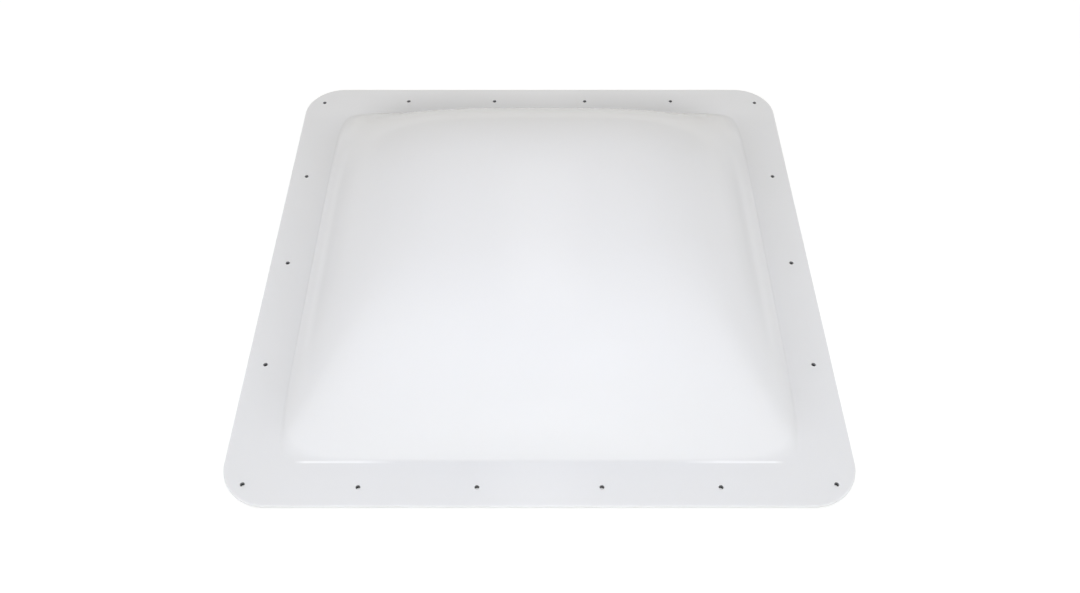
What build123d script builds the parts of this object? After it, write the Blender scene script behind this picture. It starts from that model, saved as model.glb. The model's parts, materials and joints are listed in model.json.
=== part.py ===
from build123d import *
import math
import os

# RV roof skylight: one blown dome of white sheet with a drilled screw flange,
# and the four strips of foam seal that lie between its flange and the roof.
# Millimetres. +Z is up, the front edge is at -Y, and the origin is the centre
# of the seal's underside, where the skylight rests on the roof.

# Dome
dome_side = 557.0  # between the sharp feet of opposite walls, for a 22 in roof opening
dome_height = 101.6  # crown above the underside of the flange
dome_squareness = 3.65  # exponent of the blown form: 2 is round, 6 is nearly a box
foot_corner_slope = 0.265  # rise over run where the dome's corners leave the flange
foot_radius = 4.0  # hollow bend where the dome leaves the flange

# Sheet
sheet_thickness = 3.2  # left whole in the flange
crown_thickness = 2.4  # blowing draws the sheet thinner towards the crown

# Flange
flange_margin = 51.7  # from the dome's foot to the outer edge
flange_corner_radius = 50.8
flange_edge_break = 1.2  # top edge, broken after the sheet is trimmed

# Screw holes, drilled through the flange and the seal together
hole_diameter = 4.8
end_row_inset = 24.0  # front and rear rows, from the flange's edge
side_row_inset = 21.0
corner_hole_inset_x = 24.0
corner_hole_inset_y = 27.2
end_row_inner_pitch = 128.6  # between the middle pair of a front or rear row
end_row_outer_pitch = 122.4  # from that pair to the next hole
side_row_pitch = 152.4
drilling_offset = 2.3  # the whole pattern sits this much nearer the front edge

# Seal
seal_thickness = 3.0
seal_width = 38.1
seal_setback = 5.6  # from the flange's outer edge, so that the seal stays out of sight

# How finely the blown form is sampled for its smooth face
form_steps = 24
form_tolerance = 0.02
block_trim = 1.0  # keeps a block inside the rim of the smooth face that cuts it
spare_depth = 10.0  # a cutting block runs this far past the faces that it cuts
level_tolerance = 0.01  # a face this near a level counts as lying at it

# Levels
flange_bottom = seal_thickness
flange_top = flange_bottom + sheet_thickness

# The form starts from a square inside the flange's thickness, a little wider
# than the dome's foot on the top face. The deeper it starts, the rounder and
# steeper are the corners of the foot. Its heights are over the underside.
corner_run = foot_corner_slope * dome_side / (2 * math.sqrt(2) * dome_squareness)
form_sink = corner_run**2 / dome_height
form_base = sheet_thickness - form_sink
form_rise = dome_height - form_base

# Half sizes
flange_half = dome_side / 2 + flange_margin
foot_share = 1 - form_sink / form_rise
form_half = dome_side / 2 / foot_share ** (1 / dome_squareness)
block_half = form_half - block_trim
seal_half = flange_half - seal_setback
seal_corner_radius = flange_corner_radius - seal_setback

# Hole centres
end_row_x = [
    sign * reach
    for sign in (-1, 1)
    for reach in (end_row_inner_pitch / 2, end_row_inner_pitch / 2 + end_row_outer_pitch)
]
corner_hole_x = flange_half - corner_hole_inset_x
corner_hole_y = flange_half - corner_hole_inset_y
end_row_y = flange_half - end_row_inset
side_row_x = flange_half - side_row_inset
front_holes = [(x, -end_row_y - drilling_offset) for x in end_row_x]
front_holes += [(x, -corner_hole_y - drilling_offset) for x in (-corner_hole_x, corner_hole_x)]
rear_holes = [(x, end_row_y - drilling_offset) for x in end_row_x]
rear_holes += [(x, corner_hole_y - drilling_offset) for x in (-corner_hole_x, corner_hole_x)]
side_row_y = [step * side_row_pitch - drilling_offset for step in (-1, 0, 1)]
left_holes = [(-side_row_x, y) for y in side_row_y]
right_holes = [(side_row_x, y) for y in side_row_y]


def outer_height(x, y):
    """Height of the dome's outside over the flange's underside."""
    across = 1 - abs(x / form_half) ** dome_squareness
    along = 1 - abs(y / form_half) ** dome_squareness
    return form_base + form_rise * across * along


def outer_slope(x, y):
    """Steepness of the dome's outside, as rise over run."""
    steepest = form_rise * dome_squareness / form_half
    u, v = abs(x / form_half), abs(y / form_half)
    rise_x = steepest * u ** (dome_squareness - 1) * (1 - v**dome_squareness)
    rise_y = steepest * v ** (dome_squareness - 1) * (1 - u**dome_squareness)
    return math.hypot(rise_x, rise_y)


def inner_height(x, y):
    """Height of the dome's inside, one drawn wall thickness under the outside."""
    thinning = (sheet_thickness - crown_thickness) * outer_height(x, y) / dome_height
    wall = sheet_thickness - thinning
    return outer_height(x, y) - wall * math.hypot(1, outer_slope(x, y))


def blown_face(height):
    """Smooth face through the heights that a formula gives over the form's square."""
    ticks = [form_half * (2 * step / form_steps - 1) for step in range(form_steps + 1)]
    points = [[(x, y, flange_bottom + height(x, y)) for y in ticks] for x in ticks]
    return Face.make_surface_from_array_of_points(points, tol=form_tolerance, min_deg=3, max_deg=5)


def level_face(part, level):
    """The flat face of the flange that lies at one level."""
    flats = part.faces().filter_by(Plane.XY)
    lowest, highest = level - level_tolerance, level + level_tolerance
    return flats.filter_by_position(Axis.Z, lowest, highest).sort_by(SortBy.AREA)[-1]


# Space under the dome, from below the flange up to the dome's inside
with BuildPart() as light_well:
    with BuildSketch(Plane.XY.offset(flange_bottom - spare_depth)):
        Rectangle(2 * block_half, 2 * block_half)
    extrude(amount=2 * spare_depth + dome_height)
    split(bisect_by=blown_face(inner_height), keep=Keep.BOTTOM)

# Outer dome: flange and dome blown from one sheet
with BuildPart() as outer_dome:
    with BuildSketch(Plane.XY.offset(flange_bottom)):
        Rectangle(2 * block_half, 2 * block_half)
    extrude(amount=dome_height + spare_depth)
    split(bisect_by=blown_face(outer_height), keep=Keep.BOTTOM)

    with BuildSketch(Plane.XY.offset(flange_bottom)) as flange_outline:
        RectangleRounded(2 * flange_half, 2 * flange_half, flange_corner_radius)
    extrude(amount=sheet_thickness)

    dome_foot = level_face(outer_dome, flange_top).inner_wires()[0]
    fillet(dome_foot.edges(), foot_radius)
    flange_rim = level_face(outer_dome, flange_top).outer_wire()
    chamfer(flange_rim.edges(), flange_edge_break)

    add(light_well.part, mode=Mode.SUBTRACT)
    well_mouth = level_face(outer_dome, flange_bottom).inner_wires()[0]
    fillet(well_mouth.edges(), foot_radius + sheet_thickness)

    with BuildSketch(Plane.XY.offset(flange_top)):
        with Locations(front_holes + rear_holes + left_holes + right_holes):
            Circle(hole_diameter / 2)
    extrude(amount=-sheet_thickness, mode=Mode.SUBTRACT)

outer_dome.part.label = "outer_dome"


def seal_strip(centre_x, centre_y, size_x, size_y, holes):
    """One strip of foam, cut from the outline that the whole seal follows."""
    with BuildPart() as strip:
        with BuildSketch():
            RectangleRounded(2 * seal_half, 2 * seal_half, seal_corner_radius)
            with Locations((centre_x, centre_y)):
                Rectangle(size_x, size_y, mode=Mode.INTERSECT)
            with Locations(holes):
                Circle(hole_diameter / 2, mode=Mode.SUBTRACT)
        extrude(amount=seal_thickness)
    return strip


# Front and rear strips run the full width, and the side strips butt against them
strip_middle = seal_half - seal_width / 2
side_strip_length = 2 * (seal_half - seal_width)

seal_front = seal_strip(0, -strip_middle, 2 * seal_half, seal_width, front_holes)
seal_front.part.label = "seal_front"

seal_rear = seal_strip(0, strip_middle, 2 * seal_half, seal_width, rear_holes)
seal_rear.part.label = "seal_rear"

seal_left = seal_strip(-strip_middle, 0, seal_width, side_strip_length, left_holes)
seal_left.part.label = "seal_left"

seal_right = seal_strip(strip_middle, 0, seal_width, side_strip_length, right_holes)
seal_right.part.label = "seal_right"

os.makedirs("parts", exist_ok=True)
export_step(outer_dome.part, "parts/outer_dome.step")
export_step(seal_front.part, "parts/seal_front.step")
export_step(seal_rear.part, "parts/seal_rear.step")
export_step(seal_left.part, "parts/seal_left.step")
export_step(seal_right.part, "parts/seal_right.step")
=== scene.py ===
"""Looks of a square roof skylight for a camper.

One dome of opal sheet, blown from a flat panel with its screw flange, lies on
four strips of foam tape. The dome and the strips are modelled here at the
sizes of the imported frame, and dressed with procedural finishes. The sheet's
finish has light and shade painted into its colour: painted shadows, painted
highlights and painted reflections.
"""

import json
import logging
import math
from dataclasses import dataclass, field
from enum import Enum
from typing import Iterable

import bmesh
import bpy
from bmesh.types import BMEdge, BMesh, BMVert
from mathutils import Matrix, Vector


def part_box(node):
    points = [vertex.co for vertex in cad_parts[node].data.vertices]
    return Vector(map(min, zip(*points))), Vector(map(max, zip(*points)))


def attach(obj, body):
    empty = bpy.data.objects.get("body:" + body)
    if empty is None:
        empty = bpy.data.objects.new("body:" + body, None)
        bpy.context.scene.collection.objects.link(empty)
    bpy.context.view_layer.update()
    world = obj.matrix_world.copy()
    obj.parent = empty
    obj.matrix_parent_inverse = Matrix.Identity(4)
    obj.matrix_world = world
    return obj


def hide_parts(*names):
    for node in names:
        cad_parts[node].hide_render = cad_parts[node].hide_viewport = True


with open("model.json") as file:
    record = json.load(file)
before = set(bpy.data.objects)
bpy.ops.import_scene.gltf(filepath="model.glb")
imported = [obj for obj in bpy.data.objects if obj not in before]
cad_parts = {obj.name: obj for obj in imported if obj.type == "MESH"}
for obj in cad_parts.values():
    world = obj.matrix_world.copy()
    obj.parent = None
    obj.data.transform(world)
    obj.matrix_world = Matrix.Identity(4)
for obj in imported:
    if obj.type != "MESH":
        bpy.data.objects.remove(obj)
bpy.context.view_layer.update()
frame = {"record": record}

log = logging.getLogger("skylight")

Tree = bpy.types.NodeTree
Socket = bpy.types.NodeSocket
Span = tuple[float, float]
Colour = tuple[float, float, float]

BODY = "root"
DRILLED = "drilled"
MILLIMETRE = 0.001
ROUNDING = 1e-6
SHARP = math.radians(60.0)

# Sizes of the sheet that its shape, its finish and the studio share, in metres

SHEET = 0.0032
FOOT_HALF = 0.2785
FLANGE_CORNER = 0.0508
HOLE_RADIUS = 0.0024

# Values between which nearly all of a noise texture lies

NOISE_SPAN: Span = (0.3, 0.7)


class Slot(Enum):
    """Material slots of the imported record."""

    DOME = "white_dome"
    SEAL = "foam_seal"


class Strip(Enum):
    """The strips of foam tape under the flange, each by its frame node."""

    FRONT = "seal_front"
    REAR = "seal_rear"
    LEFT = "seal_left"
    RIGHT = "seal_right"


# Node helpers


def grey(level: float) -> tuple[float, float, float, float]:
    """Colour of one grey level, from 0 for black to 1 for white."""
    return (level, level, level, 1.0)


def add_node(beside: Socket, kind: str) -> bpy.types.Node:
    """Adds a node of one kind to the node tree that a socket is in."""
    return beside.id_data.nodes.new(kind)


def link(source: Socket, target: Socket) -> None:
    """Leads what a socket puts out into an input of the same node tree."""
    source.id_data.links.new(source, target)


def noise_field(vector: Socket, scale: float, detail: float) -> Socket:
    """Adds a noise texture and gives its value.

    Args:
        vector: Coordinates that the pattern follows.
        scale: Lumps per metre.
        detail: How many finer layers lie on the lumps.

    Returns:
        The socket that puts out the noise's value, about 0.5 on average.
    """
    noise = add_node(vector, "ShaderNodeTexNoise")
    noise.inputs["Scale"].default_value = scale
    noise.inputs["Detail"].default_value = detail
    link(vector, noise.inputs["Vector"])
    return noise.outputs["Fac"]


def split(vector: Socket) -> tuple[Socket, ...]:
    """Splits coordinates.

    Args:
        vector: The coordinates.

    Returns:
        Sockets with their X, Y and Z.
    """
    parts = add_node(vector, "ShaderNodeSeparateXYZ")
    link(vector, parts.inputs[0])
    return tuple(parts.outputs)


def ramp(value: Socket, source: Span, result: Span) -> Socket:
    """Turns one range of a value evenly into another, and holds it beyond the ends.

    Args:
        value: Value to turn.
        source: Start and end of the range that is read.
        result: What comes out at that start and that end.

    Returns:
        The socket that puts out the result.
    """
    made = add_node(value, "ShaderNodeMapRange")
    made.inputs["From Min"].default_value = source[0]
    made.inputs["From Max"].default_value = source[1]
    made.inputs["To Min"].default_value = result[0]
    made.inputs["To Max"].default_value = result[1]
    link(value, made.inputs["Value"])
    return made.outputs["Result"]


def fade_in(value: Socket, span: Span) -> Socket:
    """Share that grows from 0 to 1 over a span of the value."""
    return ramp(value, span, (0.0, 1.0))


def fade_out(value: Socket, span: Span) -> Socket:
    """Share that falls from 1 to 0 over a span of the value."""
    return ramp(value, span, (1.0, 0.0))


def combine(operation: str, first: Socket, *others: Socket | float) -> Socket:
    """Joins values one after the other, by sums, products or another operation.

    Args:
        operation: Name of the operation.
        first: First value.
        others: The values or numbers that it is joined with. An operation on a
            single value takes a 0.0 here.

    Returns:
        The socket that puts out the result.
    """
    for other in others:
        made = add_node(first, "ShaderNodeMath")
        made.operation = operation
        link(first, made.inputs[0])
        if isinstance(other, float):
            made.inputs[1].default_value = other
        else:
            link(other, made.inputs[1])
        first = made.outputs[0]
    return first


def level_line(value: Socket, stops: tuple[Span, ...], span: float) -> Socket:
    """Gives a grey level that changes along a value, even between its stops.

    Args:
        value: Value to follow.
        stops: Values with the level at each, in rising order.
        span: Largest value that is told apart.

    Returns:
        The socket that puts out the grey.
    """
    line = add_node(value, "ShaderNodeValToRGB")
    elements = line.color_ramp.elements
    while len(elements) < len(stops):
        elements.new(1.0)
    for element, (spot, level) in zip(elements, stops):
        element.position = spot / span
        element.color = grey(level)
    link(combine("DIVIDE", value, span), line.inputs["Fac"])
    return line.outputs["Color"]


def new_group(name: str, takes: dict[str, str], gives: dict[str, str]) -> Tree:
    """Makes an empty node group with its sockets.

    Args:
        name: Name of the group.
        takes: Kind of each input, by its label.
        gives: Kind of each output, by its label.

    Returns:
        The group.
    """
    group = bpy.data.node_groups.new(name, "ShaderNodeTree")
    for way, sockets in (("INPUT", takes), ("OUTPUT", gives)):
        for label, kind in sockets.items():
            group.interface.new_socket(label, in_out=way, socket_type=f"NodeSocket{kind}")
    return group


def surface_relief_group() -> Tree:
    """Builds the node group that gives a surface its small relief.

    Returns:
        A group that takes coordinates, a lump size, a depth and a strength, and
        puts out a normal and the mask of the lumps.
    """
    name = "surface_relief"
    if name in bpy.data.node_groups:
        return bpy.data.node_groups[name]
    takes = {"Vector": "Vector", "Lumps per metre": "Float", "Depth": "Float", "Strength": "Float"}
    group = new_group(name, takes, {"Mask": "Float", "Normal": "Vector"})
    entry = group.nodes.new("NodeGroupInput").outputs
    leave = group.nodes.new("NodeGroupOutput").inputs
    lumps = noise_field(entry["Vector"], scale=1.0, detail=3.0)
    bump = group.nodes.new("ShaderNodeBump")
    for source, target in (
        (entry["Lumps per metre"], lumps.node.inputs["Scale"]),
        (lumps, bump.inputs["Height"]),
        (entry["Depth"], bump.inputs["Distance"]),
        (entry["Strength"], bump.inputs["Strength"]),
        (lumps, leave["Mask"]),
        (bump.outputs["Normal"], leave["Normal"]),
    ):
        link(source, target)
    return group


def add_relief(spot: Socket, lumps: float, depth: float, strength: float) -> Socket:
    """Lays the small relief on a finish.

    Args:
        spot: Object coordinates in the finish.
        lumps: Lumps per metre.
        depth: Depth of the lumps, in metres.
        strength: How strongly they show.

    Returns:
        The socket that puts out the mask of the lumps.
    """
    relief = add_node(spot, "ShaderNodeGroup")
    relief.node_tree = surface_relief_group()
    relief.inputs["Lumps per metre"].default_value = lumps
    relief.inputs["Depth"].default_value = depth
    relief.inputs["Strength"].default_value = strength
    link(spot, relief.inputs["Vector"])
    link(relief.outputs["Normal"], spot.id_data.nodes["Principled BSDF"].inputs["Normal"])
    return relief.outputs["Mask"]


def outline_group() -> Tree:
    """Builds the node group that measures the distance from the flange's outline.

    Returns:
        A group that takes coordinates, the flange's half side and its corner
        radius, and puts out the distance, below 0 inside the outline.
    """
    name = "flange_outline"
    if name in bpy.data.node_groups:
        return bpy.data.node_groups[name]
    takes = {"Vector": "Vector", "Half side": "Float", "Corner": "Float"}
    group = new_group(name, takes, {"Distance": "Float"})
    entry = group.nodes.new("NodeGroupInput").outputs
    straight = combine("SUBTRACT", entry["Half side"], entry["Corner"])
    squares = []
    for part in split(entry["Vector"])[:2]:
        reach = combine("ABSOLUTE", part, 0.0)
        past = combine("MAXIMUM", combine("SUBTRACT", reach, straight), 0.0)
        squares.append(combine("POWER", past, 2.0))
    length = combine("POWER", combine("ADD", *squares), 0.5)
    distance = combine("SUBTRACT", length, entry["Corner"])
    link(distance, group.nodes.new("NodeGroupOutput").inputs["Distance"])
    return group


def outline_distance(spot: Socket) -> Socket:
    """Measures how far a spot lies outside the flange.

    Args:
        spot: Coordinates of the spot.

    Returns:
        A socket with the distance, below 0 inside the outline.
    """
    measure = add_node(spot, "ShaderNodeGroup")
    measure.node_tree = outline_group()
    measure.inputs["Half side"].default_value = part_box("outer_dome")[1].x
    measure.inputs["Corner"].default_value = FLANGE_CORNER
    link(spot, measure.inputs["Vector"])
    return measure.outputs["Distance"]


def drilled_walls(spot: Socket) -> Socket:
    """Finds the walls of the drilled holes.

    Args:
        spot: Object coordinates in the finish.

    Returns:
        A socket that is 1 on those walls and 0 elsewhere.
    """
    mark = add_node(spot, "ShaderNodeAttribute")
    mark.attribute_name = DRILLED
    return mark.outputs["Fac"]


def new_finish(name: str) -> tuple[bpy.types.Material, bpy.types.Node, Socket]:
    """Makes a material that is ready to be dressed.

    Args:
        name: Name of the finish.

    Returns:
        The material, its shader, and the object coordinates for its patterns.
    """
    made = bpy.data.materials.new(name)
    made.use_nodes = True
    nodes = made.node_tree.nodes
    return made, nodes["Principled BSDF"], nodes.new("ShaderNodeTexCoord").outputs["Object"]


# Finishes


class Measure(Enum):
    """What the sheet's tones follow, in metres."""

    HEIGHT = "height over the flange's top face"
    ACROSS = "distance from the middle to the left or right"
    AHEAD = "distance in front of the middle"
    BEHIND = "distance behind the middle"
    NEAREST = "distance from the nearer of the two middle lines"
    BESIDE_FOOT = "distance beside the dome's foot, left or right"
    BEHIND_FOOT = "distance behind the dome's foot"
    PAST_EDGE = "distance outside the flange's edge"


def sheet_measures(spot: Socket) -> dict[Measure, Socket]:
    """Measures where a spot of the sheet lies.

    Args:
        spot: Object coordinates in the finish.

    Returns:
        A socket for each measure.
    """
    x, y, z = split(spot)
    across = combine("ABSOLUTE", x, 0.0)
    return {
        Measure.HEIGHT: combine("SUBTRACT", z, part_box("outer_dome")[0].z + SHEET),
        Measure.ACROSS: across,
        Measure.AHEAD: combine("MULTIPLY", y, -1.0),
        Measure.BEHIND: y,
        Measure.NEAREST: combine("MINIMUM", across, combine("ABSOLUTE", y, 0.0)),
        Measure.BESIDE_FOOT: combine("SUBTRACT", across, FOOT_HALF),
        Measure.BEHIND_FOOT: combine("SUBTRACT", y, FOOT_HALF),
        Measure.PAST_EDGE: outline_distance(spot),
    }


Fade = tuple[Measure, Span]


@dataclass(frozen=True)
class Tone:
    """A part of the sheet with painted light or shade, painted lighter or darker than the rest.

    Attributes:
        where: Which part it is.
        change: How much lighter it is, below 0 for darker, as a share of the tint.
        starts: Measures, each with the span over which the tone starts.
        ends: Measures, each with the span over which it ends.
    """

    where: str
    change: float
    starts: tuple[Fade, ...] = ()
    ends: tuple[Fade, ...] = ()

    def level(self, measures: dict[Measure, Socket]) -> Socket:
        """Finds how strongly the tone shows.

        Args:
            measures: A socket for each measure.

        Returns:
            A socket with the change in the share of the tint.
        """
        fades = [fade_in(measures[measure], span) for measure, span in self.starts]
        fades += [fade_out(measures[measure], span) for measure, span in self.ends]
        shown = combine("MULTIPLY", *fades, self.change)
        shown.node.label = self.where
        return shown


# Fades that several tones share

ON_FLANGE = (Measure.HEIGHT, (0.00016, 0.00112))
ON_WALL = (Measure.HEIGHT, (0.00016, 0.0016))
AT_SIDES = (Measure.ACROSS, (0.20, 0.25))
AT_REAR = (Measure.BEHIND_FOOT, (-0.02, 0.0))
TO_REAR = (Measure.BEHIND, (0.11, 0.19))
TO_CORNER = (Measure.NEAREST, (0.225, 0.250))
SOFT_LIFT = (Measure.HEIGHT, (0.0, 0.0045))
CRISP_LIFT = (Measure.HEIGHT, (0.00008, 0.0024))

# Painted shade over the whole flange, which is painted darker than the dome
FLANGE_PAINTED_SHADE = 0.06

# Light and shade painted into the sheet's colour: painted shadows, painted highlights and painted
# reflections
SHEET_TONES = (
    # Painted shade on the flange: a soft edge up the dome's foot, crisper where the foot runs
    # straight
    Tone("painted shade on the flange, with a soft edge", -FLANGE_PAINTED_SHADE, ends=(SOFT_LIFT,)),
    Tone("soft edge undone along the foot", FLANGE_PAINTED_SHADE, ends=(SOFT_LIFT, TO_CORNER, TO_REAR)),
    Tone("crisp edge there instead", -FLANGE_PAINTED_SHADE, ends=(CRISP_LIFT, TO_CORNER, TO_REAR)),
    # Painted highlight: a white line along the bend in front of the foot
    Tone(
        "painted highlight along the bend in front of the foot",
        0.19,
        starts=((Measure.ACROSS, (0.150, 0.190)), (Measure.AHEAD, (0.2774, 0.2784))),
        ends=(
            (Measure.HEIGHT, (0.00112, 0.00192)),
            (Measure.ACROSS, (0.246, 0.257)),
            (Measure.AHEAD, (0.2801, 0.2810)),
        ),
    ),
    # Painted shade on the flange beside the dome's foot, left and right
    Tone(
        "flange beside the foot",
        -0.058,
        ends=(
            (Measure.BESIDE_FOOT, (0.0, 0.045)),
            (Measure.AHEAD, (0.1894, 0.2507)),
            (Measure.BEHIND, (0.22, 0.285)),
            ON_FLANGE,
        ),
    ),
    # Painted light: the rear flange a little lighter
    Tone("flange behind the foot", 0.02, starts=(AT_REAR,), ends=(ON_FLANGE,)),
    # Painted shadow of the dome on the flange close behind it
    Tone(
        "flange close behind the foot",
        -0.115,
        starts=(AT_REAR,),
        ends=((Measure.BEHIND_FOOT, (0.010, 0.046)), (Measure.ACROSS, (0.185, 0.260)), ON_FLANGE),
    ),
    # Painted reflection of the flange, low on the side walls
    Tone(
        "painted reflection of the flange, low on the side walls",
        0.05,
        starts=(ON_WALL, AT_SIDES),
        ends=((Measure.HEIGHT, (0.019, 0.027)), (Measure.AHEAD, (0.10, 0.22)), TO_REAR),
    ),
    # More painted reflection of the flange, just above the bend
    Tone(
        "side walls just above the bend",
        0.04,
        starts=(ON_WALL, AT_SIDES),
        ends=((Measure.HEIGHT, (0.001, 0.012)), (Measure.AHEAD, (0.10, 0.22)), TO_REAR),
    ),
    # Painted reflection: a dark streak above the lighter band on the side walls
    Tone(
        "painted dark streak above that reflection",
        -0.025,
        starts=((Measure.HEIGHT, (0.024, 0.029)), AT_SIDES),
        ends=((Measure.HEIGHT, (0.043, 0.056)), (Measure.AHEAD, (0.07, 0.13)), TO_REAR),
    ),
    # Painted light in the trimmed edge, along the flange's outline
    Tone("trimmed edge, full of light", 0.10, starts=((Measure.PAST_EDGE, (-0.0022, 0.0)),)),
)


@dataclass(frozen=True)
class OpalSheet:
    """Glossy opal sheet: milky, lightly see-through, a little wavy from blowing.

    Attributes:
        tint: Colour of the dome in even light.
        tones: Its painted light and shade: parts painted lighter or darker than the rest.
        hole_share: Share of the tint on the matt walls of the holes, as painted shade.
        cloud_scale: Lumps per metre of the faint clouds in the milk.
        cloud_detail: How many finer layers lie on them.
        clouds: Shares of the tint between which they vary.
        roughness: Values between which the moulded face's gloss varies.
        gloss_scale: Lumps per metre of that.
        gloss_detail: How many finer layers lie on them.
        cut_roughness: Gloss of the drilled walls.
        waves: Waves per metre that blowing leaves in the face.
        wave_depth: Their depth, in metres.
        wave_strength: How strongly they show.
        ior: How strongly the sheet bends light.
        milk: Share of the light that wanders in the sheet.
        milk_colour: How far each colour of that light wanders, against the others.
        milk_depth: How far it wanders, in metres.
    """

    tint: Colour = (0.86, 0.866, 0.875)
    tones: tuple[Tone, ...] = SHEET_TONES
    hole_share: float = 0.36
    cloud_scale: float = 5.0
    cloud_detail: float = 2.0
    clouds: Span = (0.985, 1.0)
    roughness: Span = (0.08, 0.12)
    gloss_scale: float = 24.0
    gloss_detail: float = 4.0
    cut_roughness: float = 0.6
    waves: float = 14.0
    wave_depth: float = 0.0012
    wave_strength: float = 0.12
    ior: float = 1.49
    milk: float = 0.15
    milk_colour: Colour = (1.0, 0.95, 0.9)
    milk_depth: float = 0.003

    def tone(self, spot: Socket) -> Socket:
        """Finds the painted light and shade on each part of the sheet.

        Args:
            spot: Object coordinates in the finish.

        Returns:
            A socket with the share of the tint that shows.
        """
        measures = sheet_measures(spot)
        face = combine("ADD", *(tone.level(measures) for tone in self.tones), 1.0)
        # Painted shade on the walls of the holes
        shaded = ramp(drilled_walls(spot), (0.0, 1.0), (1.0, self.hole_share))
        return combine("MULTIPLY", face, shaded)

    def material(self) -> bpy.types.Material:
        """Builds the finish.

        Returns:
            The material, with its pattern on object coordinates.
        """
        made, shader, spot = new_finish("opal_sheet")

        milk = noise_field(spot, self.cloud_scale, self.cloud_detail)
        clouds = ramp(milk, NOISE_SPAN, self.clouds)
        colour = add_node(spot, "ShaderNodeVectorMath")
        colour.operation = "SCALE"
        colour.inputs[0].default_value = self.tint
        link(combine("MULTIPLY", clouds, self.tone(spot)), colour.inputs["Scale"])
        link(colour.outputs["Vector"], shader.inputs["Base Color"])

        haze = noise_field(spot, self.gloss_scale, self.gloss_detail)
        gloss = ramp(haze, NOISE_SPAN, self.roughness)
        cut = ramp(drilled_walls(spot), (0.0, 1.0), (0.0, self.cut_roughness))
        link(combine("MAXIMUM", gloss, cut), shader.inputs["Roughness"])

        add_relief(spot, self.waves, self.wave_depth, self.wave_strength)
        shader.inputs["IOR"].default_value = self.ior
        shader.inputs["Subsurface Weight"].default_value = self.milk
        shader.inputs["Subsurface Radius"].default_value = self.milk_colour
        shader.inputs["Subsurface Scale"].default_value = self.milk_depth
        return made


@dataclass(frozen=True)
class FoamTape:
    """Matt closed-cell foam.

    Attributes:
        shade: Colour of the foam in even light.
        contrast: Shares of that colour between which the cells vary.
        cells: Cells per metre.
        cell_depth: Their depth, in metres.
        cell_strength: How strongly they show.
        roughness: Gloss of the foam.
    """

    shade: Colour = (0.045, 0.045, 0.048)
    contrast: Span = (0.7, 1.3)
    cells: float = 900.0
    cell_depth: float = 0.0004
    cell_strength: float = 0.6
    roughness: float = 0.85

    def material(self) -> bpy.types.Material:
        """Builds the finish.

        Returns:
            The material, with its cells on object coordinates.
        """
        made, shader, spot = new_finish("foam_tape")
        mask = add_relief(spot, self.cells, self.cell_depth, self.cell_strength)
        colour = add_node(spot, "ShaderNodeMix")
        colour.data_type = "RGBA"
        for label, share in zip("AB", self.contrast):
            colour.inputs[label].default_value = (*(share * part for part in self.shade), 1.0)
        link(mask, colour.inputs["Factor"])
        link(colour.outputs["Result"], shader.inputs["Base Color"])
        shader.inputs["Roughness"].default_value = self.roughness
        return made


# Shapes


def mesh_object(bm: BMesh, name: str, material: bpy.types.Material) -> bpy.types.Object:
    """Turns a finished bmesh into a smooth-shaded object at the origin.

    Args:
        bm: The shape; it is freed here.
        name: Name of the piece.
        material: Its finish.

    Returns:
        The new object, linked to the scene.
    """
    mesh = bpy.data.meshes.new(name)
    for face in bm.faces:
        face.smooth = True
    bm.to_mesh(mesh)
    bm.free()
    mesh.materials.append(material)
    piece = bpy.data.objects.new(name, mesh)
    bpy.context.scene.collection.objects.link(piece)
    return piece


def picked(parts: Iterable, kind: type) -> list:
    """Picks the parts of one kind from what an operator made."""
    return [part for part in parts if isinstance(part, kind)]


def edges_at(verts: Iterable[BMVert]) -> list[BMEdge]:
    """Edges that meet in the given points, each of them once."""
    return list(dict.fromkeys(edge for vert in verts for edge in vert.link_edges))


def sharp_edges(bm: BMesh) -> list[BMEdge]:
    """Edges at which two faces meet sharply."""
    return [edge for edge in bm.edges if edge.calc_face_angle(0.0) > SHARP]


def round_over(
    bm: BMesh, parts: list, radius: float, segments: int = 3, affect: str = "EDGES"
) -> None:
    """Rounds edges or corners over.

    Args:
        bm: Mesh that holds them.
        parts: The edges, or the corners' points.
        radius: Radius of the round.
        segments: Facets across the round.
        affect: EDGES or VERTICES, after what the parts are.
    """
    bmesh.ops.bevel(
        bm,
        geom=parts,
        offset=radius,
        offset_type="OFFSET",
        segments=segments,
        profile=0.5,
        affect=affect,
        material=-1,
    )


def draw_circle(bm: BMesh, centre: Vector, radius: float, segments: int) -> list[BMVert]:
    """Draws a level circle.

    Args:
        bm: Mesh that takes the circle.
        centre: Its middle.
        radius: Its radius.
        segments: Its number of sides.

    Returns:
        Its points.
    """
    verts = bmesh.ops.create_circle(bm, segments=segments, radius=radius)["verts"]
    bmesh.ops.translate(bm, vec=centre, verts=verts)
    return verts


def fill_level(bm: BMesh, edges: list[BMEdge]) -> None:
    """Fills a level outline with faces, and leaves the holes in it open."""
    bmesh.ops.triangle_fill(
        bm, use_beauty=True, use_dissolve=False, edges=edges, normal=(0, 0, 1)
    )


def screw_holes(record: dict) -> list[Vector]:
    """Works out the screw holes' centres from the record's bolt patterns.

    Args:
        record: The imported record.

    Returns:
        One centre per hole, in metres, at the mounts' own height.
    """
    centres = []
    for mount in record["mounts"]:
        if mount["kind"] != "bolt_pattern":
            continue
        reach_x = mount["dims"]["spacing_x_mm"] * MILLIMETRE / 2
        reach_y = mount["dims"].get("spacing_y_mm", 0.0) * MILLIMETRE / 2
        rows = (-reach_y, reach_y) if reach_y else (0.0,)
        for x in (-reach_x, reach_x):
            centres += [Vector(mount["pos_m"]) + Vector((x, y, 0.0)) for y in rows]
    return centres


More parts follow.
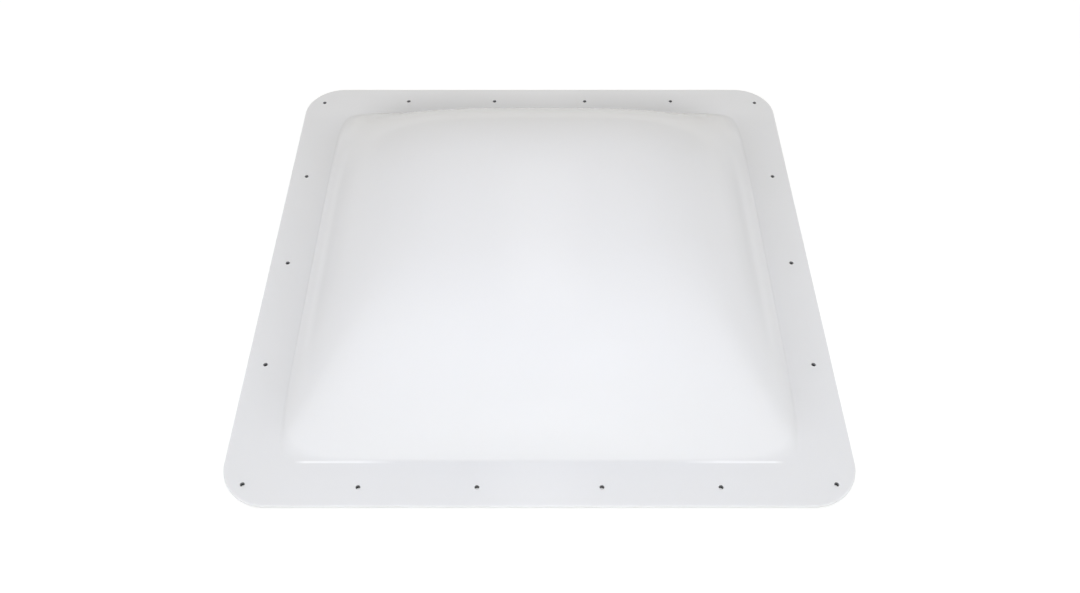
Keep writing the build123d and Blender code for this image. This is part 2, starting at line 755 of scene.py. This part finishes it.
@dataclass(frozen=True)
class BlownForm:
    """The form that a square opening gives a blown sheet.

    Attributes:
        half: Half the side of the form's square, in metres.
        base: Level of that square.
        rise: Height of the crown above it.
        squareness: Exponent of the form; 2 is round and 6 is nearly a box.
    """

    half: float
    base: float
    rise: float
    squareness: float

    def share(self, across: float) -> float:
        """Share of the full rise that one coordinate leaves."""
        return 1.0 - abs(across / self.half) ** self.squareness

    def level(self, x: float, y: float) -> float:
        """Height of the form over a point of the plan."""
        return self.base + self.rise * self.share(x) * self.share(y)

    def fall(self, x: float, y: float) -> Vector:
        """Direction in plan in which the form falls, as long as it is steep.

        Args:
            x: Place across.
            y: Place along.

        Returns:
            A flat vector that points down the slope.
        """
        steep = self.rise * self.squareness / self.half
        power = self.squareness - 1.0
        down_x = steep * abs(x / self.half) ** power * self.share(y)
        down_y = steep * abs(y / self.half) ** power * self.share(x)
        return Vector((math.copysign(down_x, x), math.copysign(down_y, y), 0.0))

    def outline(self, direction: Vector, height: float) -> Vector:
        """Point of the form's level line that lies in one direction.

        Args:
            direction: Flat vector from the centre.
            height: Level of the line.

        Returns:
            The point, at that level.
        """
        flat = Vector((direction.x, direction.y)).normalized()
        a = abs(flat.x / self.half) ** self.squareness
        b = abs(flat.y / self.half) ** self.squareness
        left = 1.0 - (height - self.base) / self.rise
        root = math.sqrt(max((a + b) ** 2 - 4.0 * a * b * left, 0.0))
        reach = (2.0 * left / (a + b + root)) ** (1.0 / self.squareness)
        return Vector((flat.x * reach, flat.y * reach, height))


@dataclass
class OpalDome:
    """The dome and its flange: one blown sheet, drilled for the roof screws.

    Attributes:
        foot_half: Half the distance between opposite walls at the flange.
        squareness: Exponent of the blown form.
        sink: How far under the flange's face the form starts.
        sheet: Thickness of the flange.
        crown_sheet: Thickness at the crown, where blowing has thinned it.
        bend: Radius of the bend where the dome leaves the flange.
        bend_land: Least distance over which the sheet turns on each side of the
            foot, so that the bend is wider where the wall is flat, at the corners.
        land: Width of the narrow flat strip beyond the bend and round each hole.
        corner: Radius of the flange's corners.
        hole: Radius of a screw hole.
        trim: Radius at which the trimmed edge is rounded over.
        trim_land: Width of the flat strip inside that round.
        hole_break: Radius at which the holes' edges are broken.
        upright: Largest upward part of a face's direction on a hole's wall.
        steps: Squares along one side of the dome's grid.
        bend_steps: Facets across the bend.
        hole_facets: Facets round a hole.
        corner_facets: Facets round the flange's four corners together.
        finish: Material of the sheet.
    """

    foot_half: float = FOOT_HALF
    squareness: float = 3.65
    sink: float = 0.0020
    sheet: float = SHEET
    crown_sheet: float = 0.0024
    bend: float = 0.0040
    bend_land: float = 0.0020
    land: float = 0.0006
    corner: float = FLANGE_CORNER
    hole: float = HOLE_RADIUS
    trim: float = 0.0010
    trim_land: float = 0.0010
    hole_break: float = 0.0002
    upright: float = 0.8
    steps: int = 176
    bend_steps: int = 8
    hole_facets: int = 32
    corner_facets: int = 96
    finish: OpalSheet = field(default_factory=OpalSheet)

    node = "outer_dome"

    def __post_init__(self) -> None:
        """Takes the levels, the flange's size and the holes from the frame."""
        low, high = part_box(self.node)
        self.flange_half = high.x
        self.top = low.z + self.sheet
        self.holes = screw_holes(frame["record"])
        base = self.top - self.sink
        rise = high.z - base
        left = 1.0 - self.sink / rise
        half = self.foot_half / left ** (1.0 / self.squareness)
        self.form = BlownForm(half, base, rise, self.squareness)

    def bend_point(self, direction: Vector, turn: float) -> Vector:
        """Point of the bend between the dome's wall and the flange.

        Args:
            direction: Flat vector from the centre towards the point.
            turn: 0 at the end of the bend on the flange, 1 where the wall starts.

        Returns:
            The point on the sheet's outside.
        """
        foot = self.form.outline(direction, self.top)
        fall = self.form.fall(foot.x, foot.y)
        outward = fall.normalized()
        wall_angle = math.atan(fall.length)
        reach = math.tan(wall_angle / 2)
        radius = max(self.bend, self.bend_land / reach)
        angle = wall_angle * turn
        lift = Vector((0.0, 0.0, radius * (1.0 - math.cos(angle))))
        return foot + outward * radius * (reach - math.sin(angle)) + lift

    def blow_cap(self, bm: BMesh) -> list[BMEdge]:
        """Makes the dome from a grid that is stretched over the blown form.

        Args:
            bm: Mesh that takes the dome.

        Returns:
            The edges round the dome's foot, where its wall meets the bend.
        """
        grid = bmesh.ops.create_grid(
            bm, x_segments=self.steps, y_segments=self.steps, size=1.0
        )
        for vert in grid["verts"]:
            ring = max(abs(vert.co.x), abs(vert.co.y))
            if ring < ROUNDING:
                vert.co = Vector((0.0, 0.0, self.form.level(0.0, 0.0)))
                continue
            wall_end = self.bend_point(vert.co, 1.0)
            spot = wall_end * ring
            if ring < 1.0 - ROUNDING:
                spot.z = self.form.level(spot.x, spot.y)
            vert.co = spot
        return [edge for edge in bm.edges if edge.is_boundary]

    def draw_bend(self, bm: BMesh, rim: list[BMEdge]) -> list[BMEdge]:
        """Carries the wall round the bend and a little way onto the flange.

        Args:
            bm: Mesh that holds the dome.
            rim: Edges round the dome's foot.

        Returns:
            The edges round the flat strip beyond the bend.
        """
        for step in range(1, self.bend_steps + 2):
            made = bmesh.ops.extrude_edge_only(bm, edges=rim)["geom"]
            for vert in picked(made, BMVert):
                turn = max(1.0 - step / self.bend_steps, 0.0)
                spot = self.bend_point(vert.co, turn)
                if step > self.bend_steps:
                    spot += self.form.fall(spot.x, spot.y).normalized() * self.land
                vert.co = spot
            rim = picked(made, BMEdge)
        return rim

    def flange_edge(self, bm: BMesh) -> list[BMEdge]:
        """Makes a flat strip inside the flange's outer edge.

        Args:
            bm: Mesh that takes the strip.

        Returns:
            The strip's inner edges.
        """
        middle = Vector((0.0, 0.0, self.top))
        outer = draw_circle(bm, middle, self.corner, self.corner_facets)
        reach = self.flange_half - self.corner
        for vert in outer:
            vert.co.x += math.copysign(reach, vert.co.x)
            vert.co.y += math.copysign(reach, vert.co.y)
        made = bmesh.ops.extrude_edge_only(bm, edges=edges_at(outer))["geom"]
        for vert in picked(made, BMVert):
            corner_x = max(-reach, min(reach, vert.co.x))
            corner_y = max(-reach, min(reach, vert.co.y))
            inward = Vector((corner_x, corner_y, self.top)) - vert.co
            vert.co += inward.normalized() * (self.trim + self.trim_land)
        return picked(made, BMEdge)

    def hole_ring(self, bm: BMesh, centre: Vector) -> list[BMEdge]:
        """Makes the flat ring of sheet round one drilled hole.

        Args:
            bm: Mesh that takes the ring.
            centre: Middle of the hole on the flange's face.

        Returns:
            The ring's outer edges, where the rest of the face joins on.
        """
        reach = self.hole + self.land
        rim = edges_at(draw_circle(bm, centre, reach, self.hole_facets))
        made = bmesh.ops.extrude_edge_only(bm, edges=rim)["geom"]
        for vert in picked(made, BMVert):
            vert.co = centre + (vert.co - centre) * self.hole / reach
        return rim

    def build(self) -> bpy.types.Object:
        """Builds the piece and seats it in the frame.

        Returns:
            The dressed dome.
        """
        bm = bmesh.new()
        edges = self.draw_bend(bm, self.blow_cap(bm)) + self.flange_edge(bm)
        for centre in self.holes:
            edges += self.hole_ring(bm, Vector((centre.x, centre.y, self.top)))
        fill_level(bm, edges)
        bmesh.ops.recalc_face_normals(bm, faces=bm.faces)
        if max(bm.faces, key=lambda face: face.calc_center_median().z).normal.z < 0:
            bmesh.ops.reverse_faces(bm, faces=bm.faces)
        self.give_thickness(bm)
        self.round_trim(bm)
        self.mark_drilled(bm)
        piece = mesh_object(bm, "opal_dome", self.finish.material())
        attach(piece, BODY)
        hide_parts(self.node)
        return piece

    def give_thickness(self, bm: BMesh) -> None:
        """Gives the sheet its thickness, a little less towards the crown.

        Args:
            bm: Mesh that holds the sheet's outside.
        """
        outside = set(bm.verts)
        bmesh.ops.solidify(bm, geom=bm.faces[:], thickness=self.sheet)
        drawn = (self.sheet - self.crown_sheet) / self.form.rise
        for vert in bm.verts:
            if vert not in outside:
                vert.co.z += drawn * max(vert.co.z - self.form.base, 0.0)

    def at_hole(self, spot: Vector) -> bool:
        """Whether a spot lies within a hole's diameter of its centre."""
        return min((spot.xy - centre.xy).length for centre in self.holes) < 2 * self.hole

    def round_trim(self, bm: BMesh) -> None:
        """Rounds the sheet's trimmed edge over, and breaks the holes' edges.

        Args:
            bm: Mesh that holds the sheet.
        """
        rims: dict[bool, list[BMEdge]] = {True: [], False: []}
        for edge in sharp_edges(bm):
            rims[self.at_hole(edge.verts[0].co)].append(edge)
        round_over(bm, rims[False], self.trim)
        round_over(bm, rims[True], self.hole_break)

    def mark_drilled(self, bm: BMesh) -> None:
        """Marks the walls of the screw holes for the finish.

        Args:
            bm: Mesh that holds the sheet.
        """
        mark = bm.loops.layers.float.new(DRILLED)
        for face in bm.faces:
            if abs(face.normal.z) <= self.upright and self.at_hole(face.calc_center_median()):
                for loop in face.loops:
                    loop[mark] = 1.0


@dataclass
class FoamSeal:
    """The foam tape round the roof opening, in four butted strips.

    Attributes:
        inset: How far the seal lies inside the flange's edge.
        squeeze: Radius to which the pressed foam's edges are rounded.
        hole: Radius of a screw hole.
        corner_facets: Facets round one of the seal's corners.
        hole_facets: Facets round a hole.
        finish: Material of the foam.
    """

    inset: float = 0.0056
    squeeze: float = 0.0009
    hole: float = HOLE_RADIUS
    corner_facets: int = 14
    hole_facets: int = 24
    finish: FoamTape = field(default_factory=FoamTape)

    def outline(self, bm: BMesh, strip: Strip) -> None:
        """Lays out one strip's outline on the roof, with its rounded corners.

        Args:
            bm: Mesh that takes the outline.
            strip: Which strip it is.
        """
        low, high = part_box(strip.value)
        made = bmesh.ops.create_grid(bm, x_segments=1, y_segments=1, size=1.0)
        middle, reach = (low + high) / 2, (high - low) / 2
        for vert in made["verts"]:
            vert.co.x = middle.x + reach.x * vert.co.x
            vert.co.y = middle.y + reach.y * vert.co.y
            vert.co.z = low.z
        if strip in (Strip.FRONT, Strip.REAR):
            outer = max(abs(low.y), abs(high.y))
            corners = [v for v in made["verts"] if abs(abs(v.co.y) - outer) < MILLIMETRE]
            radius = FLANGE_CORNER - self.inset
            round_over(bm, corners, radius, self.corner_facets, "VERTICES")
        bmesh.ops.delete(bm, geom=bm.faces[:], context="FACES_ONLY")

    def build_strip(self, strip: Strip, material: bpy.types.Material) -> bpy.types.Object:
        """Builds one strip in its place.

        Args:
            strip: Which strip it is.
            material: The foam's finish.

        Returns:
            The dressed strip.
        """
        low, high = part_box(strip.value)
        bm = bmesh.new()
        self.outline(bm, strip)
        for centre in screw_holes(frame["record"]):
            if low.x < centre.x < high.x and low.y < centre.y < high.y:
                spot = Vector((centre.x, centre.y, low.z))
                draw_circle(bm, spot, self.hole, self.hole_facets)
        fill_level(bm, bm.edges[:])
        raised = bmesh.ops.extrude_face_region(bm, geom=bm.faces[:])["geom"]
        bmesh.ops.translate(bm, vec=(0.0, 0.0, high.z - low.z), verts=picked(raised, BMVert))
        bmesh.ops.recalc_face_normals(bm, faces=bm.faces)
        level = [
            edge
            for edge in sharp_edges(bm)
            if abs(edge.verts[0].co.z - edge.verts[1].co.z) < ROUNDING
        ]
        round_over(bm, level, self.squeeze)
        piece = mesh_object(bm, f"foam_{strip.name.lower()}", material)
        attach(piece, BODY)
        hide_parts(strip.value)
        return piece

    def build(self) -> list[bpy.types.Object]:
        """Builds the four strips.

        Returns:
            The dressed strips.
        """
        material = self.finish.material()
        return [self.build_strip(strip, material) for strip in Strip]


# Studio


@dataclass(frozen=True)
class Softbox:
    """A square soft lamp that points at the skylight and doesn't show in its gloss.

    Attributes:
        name: Name of the lamp.
        place: Where it stands, in metres.
        side: Length of its side.
        watts: Power.
        tint: Colour of its light.
    """

    name: str
    place: tuple[float, float, float]
    side: float
    watts: float
    tint: Colour

    def build(self) -> bpy.types.Object:
        """Makes the lamp and turns it towards the skylight.

        Returns:
            The lamp.
        """
        data = bpy.data.lights.new(self.name, "AREA")
        data.shape = "SQUARE"
        data.size = self.side
        data.energy = self.watts
        data.color = self.tint
        lamp = bpy.data.objects.new(self.name, data)
        lamp.location = self.place
        lamp.rotation_euler = (-Vector(self.place)).to_track_quat("-Z", "Y").to_euler()
        lamp.visible_glossy = False
        lamp.visible_camera = False
        bpy.context.scene.collection.objects.link(lamp)
        return lamp


@dataclass(frozen=True)
class Studio:
    """The pale floor, the soft light and the camera.

    Attributes:
        eye: Where the camera stands, in metres.
        pitch: How far it looks down from the horizon, in degrees.
        focal_pixels: Focal length in pixels of the photograph.
        photo_width: Width of the photograph, in pixels.
        sensor: Width of the camera's sensor, in millimetres.
        clip: Nearest and farthest distance that the camera sees.
        ambient: Strength of the light from all round.
        ambient_tint: Its colour.
        lamps: The soft lamps.
        tent: Places on the arc from the horizon behind (0) over the top to the
            horizon in front (1), and how bright the gloss shows the tent there.
        tent_sides: How much brighter the gloss shows the tent's left and right sides.
        side_span: Sideways parts of a direction at which they start and are full.
        tent_stripe: How much brighter the stripe over the tent's middle is.
        stripe_side: Sideways parts of a direction at which it starts to fade and ends.
        stripe_start: Places on the arc between which it starts.
        stripe_end: Places on the arc between which it ends.
        floor_reach: Half the side of the floor.
        floor_colour: Grey level of the floor in the light that it throws back.
        floor_in_gloss: Distances from the flange, and how bright the gloss shows
            the floor there.
        floor_span: Distance from the flange beyond which the floor stays the same.
        floor_behind: How bright the gloss shows the floor behind the skylight.
        behind_start: Share of the way to the flange's rear edge where that starts.
        floor_glow: How bright the floor shows by itself.
        floor_shade: How much of the floor's look comes from the light on it.
        cover_glow: How bright the floor's painted shadow under the flange shows, through the
            holes.
        cover_fade: Distances from the outline, below 0 inside it, between which
        that painted shadow ends.
    """

    eye: tuple[float, float, float] = (0.00056, -0.78538, 0.90185)
    pitch: float = 50.824
    focal_pixels: float = 968.35
    photo_width: float = 1080.0
    sensor: float = 36.0
    clip: Span = (0.01, 100.0)
    ambient: float = 0.61
    ambient_tint: Colour = (0.996, 0.956, 0.854)
    lamps: tuple[Softbox, ...] = (
        Softbox("lamp_front_mid", (0.0, -1.6, 1.05), 0.6, 7.0, (0.89, 0.91, 1.0)),
        Softbox("lamp_left_mid", (-1.3, 0.0, 0.8), 0.5, 1.85, (0.56, 0.65, 1.0)),
        Softbox("lamp_right_mid", (1.3, 0.0, 0.8), 0.5, 1.7, (0.52, 0.63, 1.0)),
        Softbox("lamp_back_high", (0.0, 1.5, 1.6), 1.2, 4.1, (1.0, 0.98, 0.92)),
        Softbox("lamp_front_near", (0.0, -0.75, 1.1), 0.5, 1.35, (0.80, 1.0, 0.98)),
        Softbox("lamp_mid_near", (0.0, -0.35, 0.9), 0.5, 1.5, (0.72, 0.72, 1.0)),
    )
    tent: tuple[Span, ...] = (
        (0.0, 0.32),
        (0.06, 0.18),
        (0.14, 0.0),
        (0.22, 0.11),
        (0.32, 0.48),
        (0.44, 0.62),
        (0.58, 0.75),
        (0.74, 0.80),
        (0.90, 1.30),
    )
    tent_sides: float = 0.38
    side_span: Span = (0.5, 0.75)
    tent_stripe: float = 0.75
    stripe_side: Span = (0.015, 0.065)
    stripe_start: Span = (0.17, 0.28)
    stripe_end: Span = (0.38, 0.48)
    floor_reach: float = 8.0
    floor_colour: float = 0.8
    floor_in_gloss: tuple[Span, ...] = (
        (0.03, 0.68),
        (0.07, 0.40),
        (0.11, 0.39),
        (0.16, 0.81),
        (0.25, 0.50),
    )
    floor_span: float = 0.5
    floor_behind: float = 0.60
    behind_start: float = 0.9
    floor_glow: float = 0.70
    floor_shade: float = 0.40
    cover_glow: float = 0.31
    cover_fade: Span = (-0.008, -0.0025)

    def by_ray(self, lit: Socket, mirrored: Socket, seen: Socket) -> Socket:
        """Chooses what a ray meets: the studio's light, its mirror image or its look.

        Args:
            lit: What sends light to the object.
            mirrored: What the gloss mirrors.
            seen: What the camera sees, directly or through the sheet.

        Returns:
            The socket of the shader that suits the ray.
        """
        path = add_node(lit, "ShaderNodeLightPath").outputs
        direct = combine("MAXIMUM", path["Is Camera Ray"], path["Is Transmission Ray"])
        for ray, other in ((path["Is Glossy Ray"], mirrored), (direct, seen)):
            mix = add_node(lit, "ShaderNodeMixShader")
            link(ray, mix.inputs["Fac"])
            link(lit, mix.inputs[1])
            link(other, mix.inputs[2])
            lit = mix.outputs["Shader"]
        return lit

    def tent_level(self, direction: Socket) -> Socket:
        """Finds how bright the tent is, from behind over the top to the front.

        Args:
            direction: Where a ray of the gloss goes.

        Returns:
            The socket that puts out the tent's colour.
        """
        x, y, z = split(direction)
        arc = combine("DIVIDE", combine("ARCTAN2", z, y), math.pi)
        sideways = combine("ABSOLUTE", x, 0.0)
        stripe = combine(
            "MULTIPLY",
            ramp(sideways, self.stripe_side, (self.tent_stripe, 0.0)),
            fade_in(arc, self.stripe_start),
            fade_out(arc, self.stripe_end),
        )
        sides = ramp(sideways, self.side_span, (0.0, self.tent_sides))
        whole = add_node(direction, "ShaderNodeVectorMath")
        link(level_line(arc, self.tent, 1.0), whole.inputs[0])
        link(combine("ADD", sides, stripe), whole.inputs[1])
        return whole.outputs["Vector"]

    def build_world(self) -> None:
        """Makes the even light from all round, the tent in the gloss and the white."""
        world = bpy.data.worlds.new("studio")
        world.use_nodes = True
        nodes = world.node_tree.nodes
        nodes.clear()
        direction = nodes.new("ShaderNodeTexCoord").outputs["Generated"]
        lit, mirrored, seen = (nodes.new("ShaderNodeBackground") for _ in range(3))
        lit.inputs["Color"].default_value = (*self.ambient_tint, 1.0)
        lit.inputs["Strength"].default_value = self.ambient
        link(self.tent_level(direction), mirrored.inputs["Color"])
        seen.inputs["Color"].default_value = grey(1.0)
        shown = self.by_ray(*(part.outputs[0] for part in (lit, mirrored, seen)))
        link(shown, nodes.new("ShaderNodeOutputWorld").inputs["Surface"])
        bpy.context.scene.world = world

    def build_floor(self) -> bpy.types.Object:
        """Makes the pale floor: what it throws back, its mirror image and its look.

        Returns:
            The floor.
        """
        made = bpy.data.materials.new("studio_floor")
        made.use_nodes = True
        nodes = made.node_tree.nodes
        nodes.clear()
        spot = nodes.new("ShaderNodeTexCoord").outputs["Object"]
        distance = outline_distance(spot)
        lit = nodes.new("ShaderNodeBsdfDiffuse")
        lit.inputs["Color"].default_value = grey(self.floor_colour)

        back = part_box("outer_dome")[1].y
        beside = level_line(distance, self.floor_in_gloss, self.floor_span)
        from_back = fade_in(split(spot)[1], (self.behind_start * back, back))
        level = nodes.new("ShaderNodeMix")
        level.data_type = "RGBA"
        link(from_back, level.inputs["Factor"])
        link(beside, level.inputs["A"])
        level.inputs["B"].default_value = grey(self.floor_behind)
        mirrored = nodes.new("ShaderNodeEmission")
        link(level.outputs["Result"], mirrored.inputs["Color"])

        shade = nodes.new("ShaderNodeBsdfDiffuse")
        shade.inputs["Color"].default_value = grey(self.floor_shade)
        glow = nodes.new("ShaderNodeEmission")
        # Painted shadow: the floor glows less under the flange
        strength = ramp(distance, self.cover_fade, (self.cover_glow, self.floor_glow))
        link(strength, glow.inputs["Strength"])
        look = nodes.new("ShaderNodeAddShader")
        link(shade.outputs["BSDF"], look.inputs[0])
        link(glow.outputs["Emission"], look.inputs[1])

        shown = self.by_ray(*(part.outputs[0] for part in (lit, mirrored, look)))
        link(shown, nodes.new("ShaderNodeOutputMaterial").inputs["Surface"])
        bm = bmesh.new()
        bmesh.ops.create_grid(bm, x_segments=1, y_segments=1, size=self.floor_reach)
        floor = mesh_object(bm, "studio_floor", made)
        return floor

    def build_camera(self) -> bpy.types.Object:
        """Sets up the camera at the photograph's viewpoint.

        Returns:
            The camera.
        """
        data = bpy.data.cameras.new("camera")
        data.sensor_fit = "HORIZONTAL"
        data.sensor_width = self.sensor
        data.lens = self.focal_pixels / self.photo_width * self.sensor
        data.clip_start, data.clip_end = self.clip
        camera = bpy.data.objects.new("camera", data)
        camera.location = self.eye
        camera.rotation_euler = (math.radians(90.0 - self.pitch), 0.0, 0.0)
        bpy.context.scene.collection.objects.link(camera)
        bpy.context.scene.camera = camera
        return camera

    def build(self) -> None:
        """Builds the studio."""
        self.build_world()
        self.build_floor()
        for lamp in self.lamps:
            lamp.build()
        self.build_camera()
        bpy.context.scene.view_settings.view_transform = "Standard"


def report(pieces: Iterable[bpy.types.Object]) -> None:
    """Logs each piece with the number of its faces."""
    for piece in pieces:
        log.info("%s: %d faces", piece.name, len(piece.data.polygons))


def main() -> None:
    """Builds the studio, then the skylight from the seal up."""
    logging.basicConfig(level=logging.INFO, format="%(name)s: %(message)s")
    Studio().build()
    report(FoamSeal().build())
    report([OpalDome().build()])


if __name__ == "__main__":
    main()
